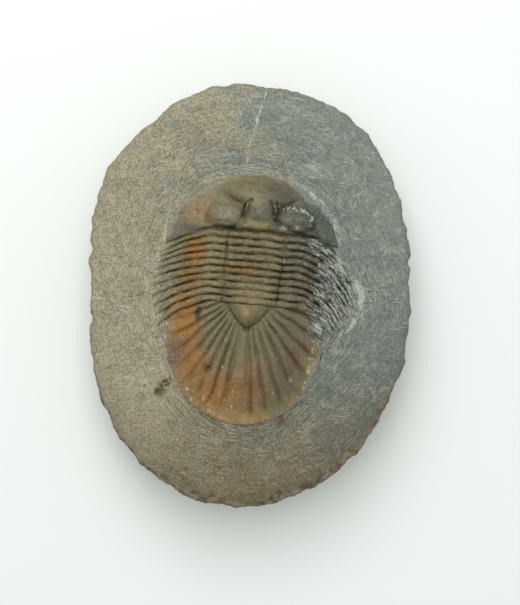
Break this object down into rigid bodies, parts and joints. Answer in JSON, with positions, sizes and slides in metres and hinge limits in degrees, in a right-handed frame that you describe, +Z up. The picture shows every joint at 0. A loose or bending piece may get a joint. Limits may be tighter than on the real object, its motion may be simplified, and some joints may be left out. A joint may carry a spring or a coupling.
{
  "type": "trilobite fossil",
  "caption": "Trilobite with a ribbed body and a fan-shaped tail, lying on its oval block of limestone.",
  "frame": {"origin": "middle of the flat underside of the block, at the surface it rests on", "axes": "+Z up through the shell's back, +Y along the block's long way towards the animal's head, +X to the animal's right as seen from above"},
  "size_m": [0.0796, 0.105, 0.028],
  "materials": {
    "limestone": "matte",
    "brown_shell": "satin",
    "olive_shell": "satin",
    "dark_shell": "satin"
  },
  "bodies": {
    "root": {"limestone_block": "limestone", "cranidium": "olive_shell", "left_free_cheek": "olive_shell", "right_free_cheek": "dark_shell", "thoracic_segment_01": "brown_shell", "thoracic_segment_02": "brown_shell", "thoracic_segment_03": "brown_shell", "thoracic_segment_04": "brown_shell", "thoracic_segment_05": "brown_shell", "thoracic_segment_06": "brown_shell", "thoracic_segment_07": "brown_shell", "thoracic_segment_08": "brown_shell", "thoracic_segment_09": "brown_shell", "thoracic_segment_10": "brown_shell", "tail_shield": "brown_shell"}
  },
  "joints": []
}
